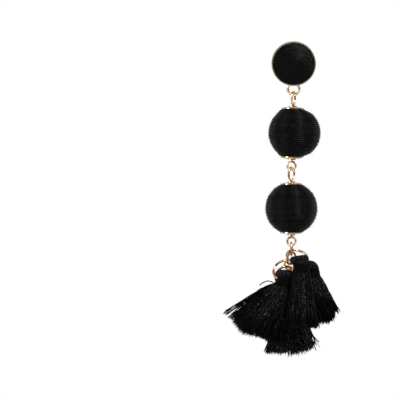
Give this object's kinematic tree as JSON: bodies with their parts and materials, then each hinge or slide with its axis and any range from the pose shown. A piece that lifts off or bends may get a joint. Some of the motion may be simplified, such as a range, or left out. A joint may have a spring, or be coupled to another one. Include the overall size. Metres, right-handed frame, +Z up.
{
  "type": "tassel drop earring",
  "caption": "Drop earring: a thread-wound stud in a gold cup, two thread-wound balls with gold caps on eye pins, and a bunch of fringe tassels on jump rings.",
  "frame": {"origin": "middle of the cup's back face, where the post meets the ear lobe", "axes": "+Z up, front faces -Y, +X to the viewer's right, hanging as worn"},
  "size_m": [0.0361, 0.0217, 0.1047],
  "materials": {
    "gold_setting": "polished gold-coloured plate",
    "gold_cap": "polished gold-coloured plate",
    "gold_wire": "polished gold-coloured wire",
    "rose_gold_wire": "polished gold-coloured wire with warm reflections",
    "wound_thread": "black silky thread wound in level turns",
    "tassel_thread": "black fine silky thread, cut ends",
    "binding_thread": "black silky thread wound tight"
  },
  "bodies": {
    "stud": {"stud_setting": "gold_setting", "stud_winding": "wound_thread"},
    "upper_drop": {"upper_eye_pin": "gold_wire", "upper_top_cap": "gold_cap", "upper_ball": "wound_thread", "upper_bottom_cap": "gold_cap"},
    "lower_drop": {"lower_eye_pin": "gold_wire", "lower_top_cap": "gold_cap", "lower_ball": "wound_thread", "lower_bottom_cap": "gold_cap"},
    "tassel_bunch": {"chain_link_1": "rose_gold_wire", "chain_link_2": "rose_gold_wire", "chain_link_3": "rose_gold_wire", "ring_middle": "rose_gold_wire", "ring_right": "rose_gold_wire", "ring_left": "rose_gold_wire", "ring_bottom": "rose_gold_wire", "tassel_middle": "tassel_thread", "tassel_right": "tassel_thread", "tassel_left": "tassel_thread", "tassel_bottom": "tassel_thread", "binding_middle": "binding_thread", "binding_right": "binding_thread", "binding_left": "binding_thread", "binding_bottom": "binding_thread"}
  },
  "joints": [
    {"name": "upper_swing", "type": "hinge", "parent": "stud", "child": "upper_drop", "pos_m": [0, 0.00088, -0.00952], "axis": [0, 1, 0], "range_deg": [-60, 60]},
    {"name": "lower_swing", "type": "hinge", "parent": "upper_drop", "child": "lower_drop", "pos_m": [-0.00068, 0.00088, -0.03471], "axis": [0, 1, 0], "range_deg": [-50, 50]},
    {"name": "bunch_swing", "type": "hinge", "parent": "lower_drop", "child": "tassel_bunch", "pos_m": [-0.00068, 0.00088, -0.05991], "axis": [0, 1, 0], "range_deg": [-40, 40]}
  ]
}
